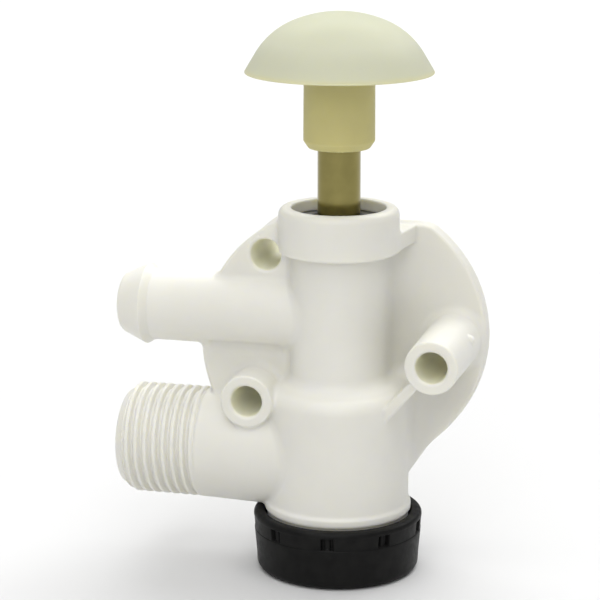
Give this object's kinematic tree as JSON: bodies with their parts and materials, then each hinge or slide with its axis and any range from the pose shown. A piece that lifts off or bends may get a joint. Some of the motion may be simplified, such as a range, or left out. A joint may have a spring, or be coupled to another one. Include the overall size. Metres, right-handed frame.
{
  "type": "push-button water valve",
  "caption": "Moulded push valve with mushroom button, brass spindle, threaded inlet, hose barb outlet, round screw-down flange and screw-on end cap.",
  "frame": {"origin": "on the spindle axis, at the foot of the screw cap", "axes": "+Z along the spindle towards the button, -X towards the inlet and the hose barb, +Y towards the flange's back"},
  "size_m": [0.0684, 0.035, 0.1058],
  "materials": {
    "white_nylon": "satin moulded, warm white",
    "ivory_nylon": "smooth, slightly translucent, ivory",
    "black_polypropylene": "fine texture, black",
    "polished_brass": "turned and polished",
    "stainless_steel": "stamped",
    "spring_steel": "drawn wire",
    "seal_rubber": "moulded nitrile rubber",
    "acetal": "turned, natural"
  },
  "bodies": {
    "housing": {"valve_body": "white_nylon", "guide_bush": "acetal", "stem_o_ring": "seal_rubber", "stem_seal": "seal_rubber", "gland_washer": "stainless_steel", "retaining_ring": "spring_steel"},
    "plunger": {"spindle": "polished_brass", "push_button": "ivory_nylon", "clamp_washer": "polished_brass", "valve_disc": "seal_rubber", "disc_holder": "polished_brass", "lock_washer": "spring_steel", "disc_nut": "polished_brass"},
    "closure": {"end_cap_gasket": "seal_rubber", "return_spring": "spring_steel"},
    "cap": {"end_cap": "black_polypropylene"}
  },
  "joints": [
    {"name": "button_press", "type": "slide", "parent": "housing", "child": "plunger", "axis": [0, 0, -1], "range_m": [0, 0.007], "stiffness_N_per_m": 900, "springref_m": -0.006, "deforming": ["return_spring"]},
    {"name": "cap_advance", "type": "slide", "parent": "housing", "child": "closure", "axis": [0, 0, -1], "range_m": [0, 0.0061]},
    {"name": "cap_turn", "type": "hinge", "parent": "closure", "child": "cap", "pos_m": [0, 0, 0], "axis": [0, 0, -1], "range_deg": [0, 1080]}
  ],
  "couplings": [
    {"joint": "cap_advance", "follows": "cap_turn", "m_per_rad": 0.00031831}
  ]
}
